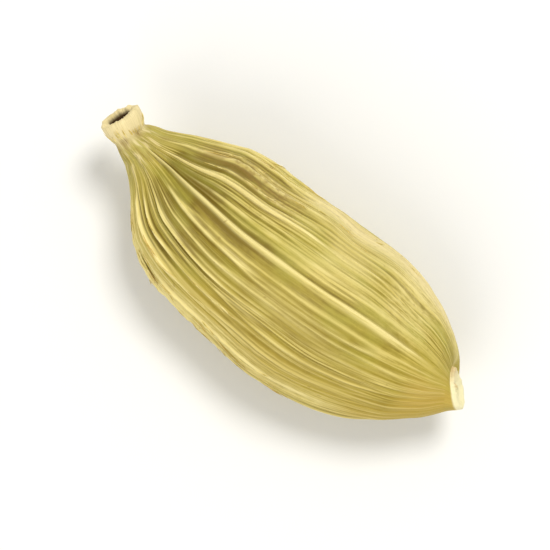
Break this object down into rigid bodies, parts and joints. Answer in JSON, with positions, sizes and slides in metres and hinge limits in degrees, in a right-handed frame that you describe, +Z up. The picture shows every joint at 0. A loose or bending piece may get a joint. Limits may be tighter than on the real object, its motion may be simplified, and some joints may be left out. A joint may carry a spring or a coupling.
{
  "type": "green cardamom pod",
  "caption": "Dried green cardamom pod: a ribbed, blunt-cornered spindle with a hollow cut stalk at one end and a pale scar at the tip, lying on its side.",
  "frame": {"origin": "bottom centre of the box round the pod, on the surface it lies on", "axes": "+X from the stalk end to the tip, +Z up, +Y to the side that bows inwards"},
  "size_m": [0.0222, 0.0092, 0.0081],
  "materials": {
    "pod_skin": "matte dried plant skin, olive green in the valleys and pale straw on the ribs"
  },
  "bodies": {
    "root": {"cardamom_pod": "pod_skin"}
  },
  "joints": []
}
